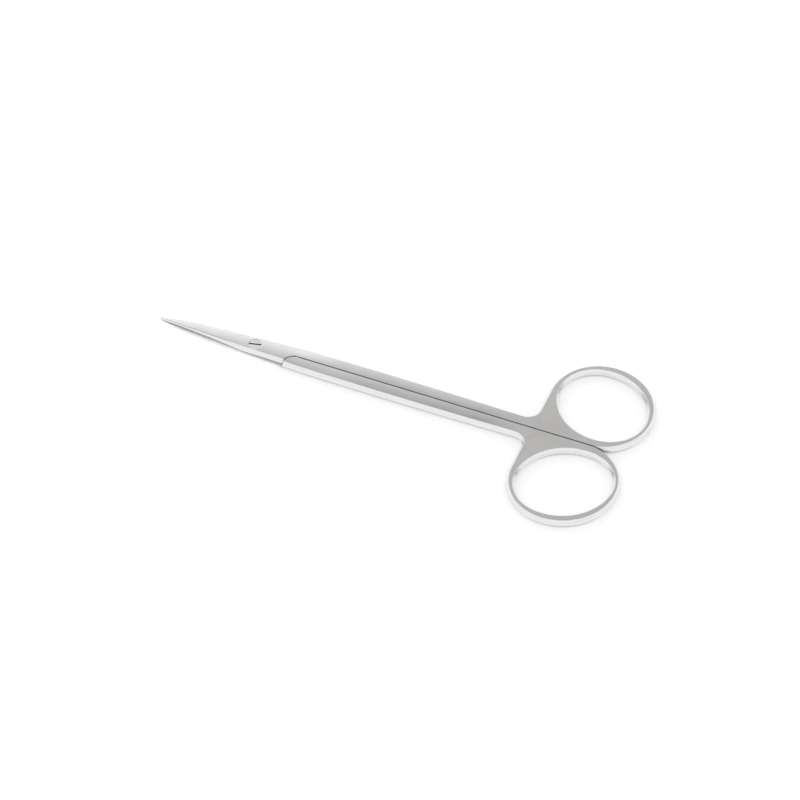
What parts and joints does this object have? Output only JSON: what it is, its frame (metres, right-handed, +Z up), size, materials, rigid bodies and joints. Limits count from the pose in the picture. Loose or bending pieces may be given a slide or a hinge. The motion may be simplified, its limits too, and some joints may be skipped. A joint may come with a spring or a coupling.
{
  "type": "dissecting scissors",
  "caption": "Straight, fine-pointed dissecting scissors with a screwed lap joint, slim tapering shanks and slightly oval finger rings.",
  "frame": {"origin": "centre of the bounding box at its underside, the plane that the scissors lie on", "axes": "+X from the tip towards the finger rings, +Y towards the ring of the upper half, +Z up from the table"},
  "size_m": [0.1302, 0.0552, 0.0026],
  "materials": {
    "satin_steel": "fine satin ground stainless steel, brushed along the shanks, with polished rounded sides",
    "screw_steel": "satin stainless steel, ground flush with the joint"
  },
  "bodies": {
    "lower": {"lower_half": "satin_steel", "pivot_screw": "screw_steel"},
    "upper": {"upper_half": "satin_steel"}
  },
  "joints": [
    {"name": "hinge", "type": "hinge", "parent": "lower", "child": "upper", "pos_m": [-0.03861, 0, 0], "axis": [0, 0, 1], "range_deg": [0, 75]}
  ]
}
